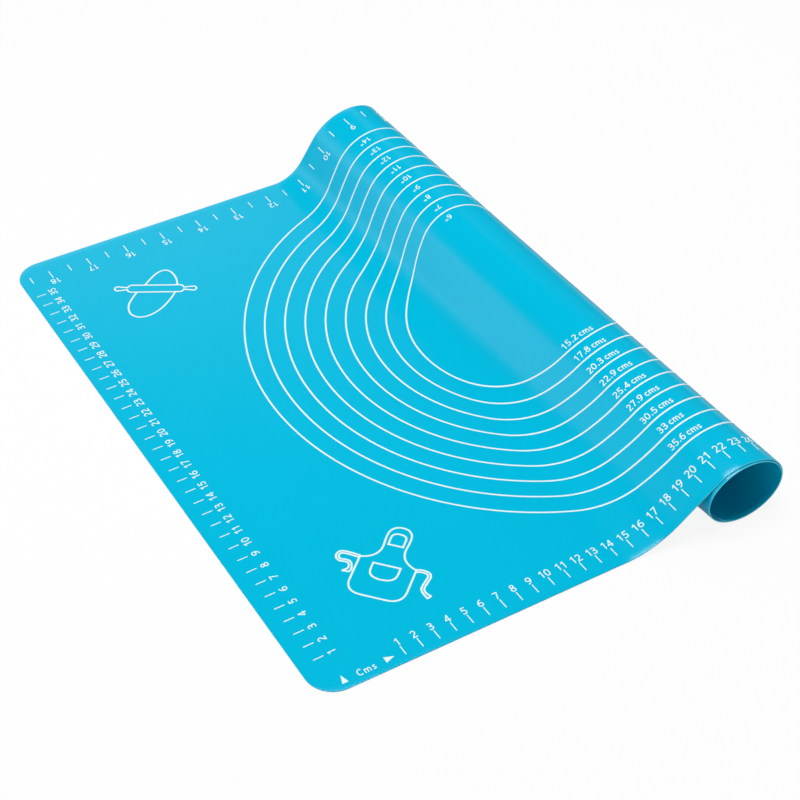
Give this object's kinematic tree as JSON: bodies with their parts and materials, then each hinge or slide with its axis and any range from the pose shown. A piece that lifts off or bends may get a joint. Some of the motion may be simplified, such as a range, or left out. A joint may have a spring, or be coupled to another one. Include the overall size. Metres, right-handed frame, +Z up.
{
  "type": "silicone pastry mat",
  "caption": "Thin silicone pastry mat with rounded corners, printed pie-crust rings and ruler scales, lying flat on one side and loosely rolled up on the other.",
  "frame": {"origin": "middle of the part's bounding box, on the surface that the flat half lies on", "axes": "+Z up from that surface; +X along the mat's long side, from the flat half to the roll; +Y across the mat, from the front edge to the back edge, along the roll"},
  "size_m": [0.2814, 0.402, 0.0413],
  "materials": {
    "blue_silicone": "satin",
    "white_print": "matte"
  },
  "bodies": {
    "root": {"mat_sheet": "blue_silicone", "ring_6_inch": "white_print", "ring_7_inch": "white_print", "ring_8_inch": "white_print", "ring_9_inch": "white_print", "ring_10_inch": "white_print", "ring_11_inch": "white_print", "ring_12_inch": "white_print", "ring_13_inch": "white_print", "ring_14_inch": "white_print", "pin_outline": "white_print", "dough_edge_near": "white_print", "dough_edge_far": "white_print", "apron_outline": "white_print", "apron_neck_hole": "white_print", "apron_pocket": "white_print", "apron_tie_left": "white_print", "apron_tie_right": "white_print"}
  },
  "joints": []
}
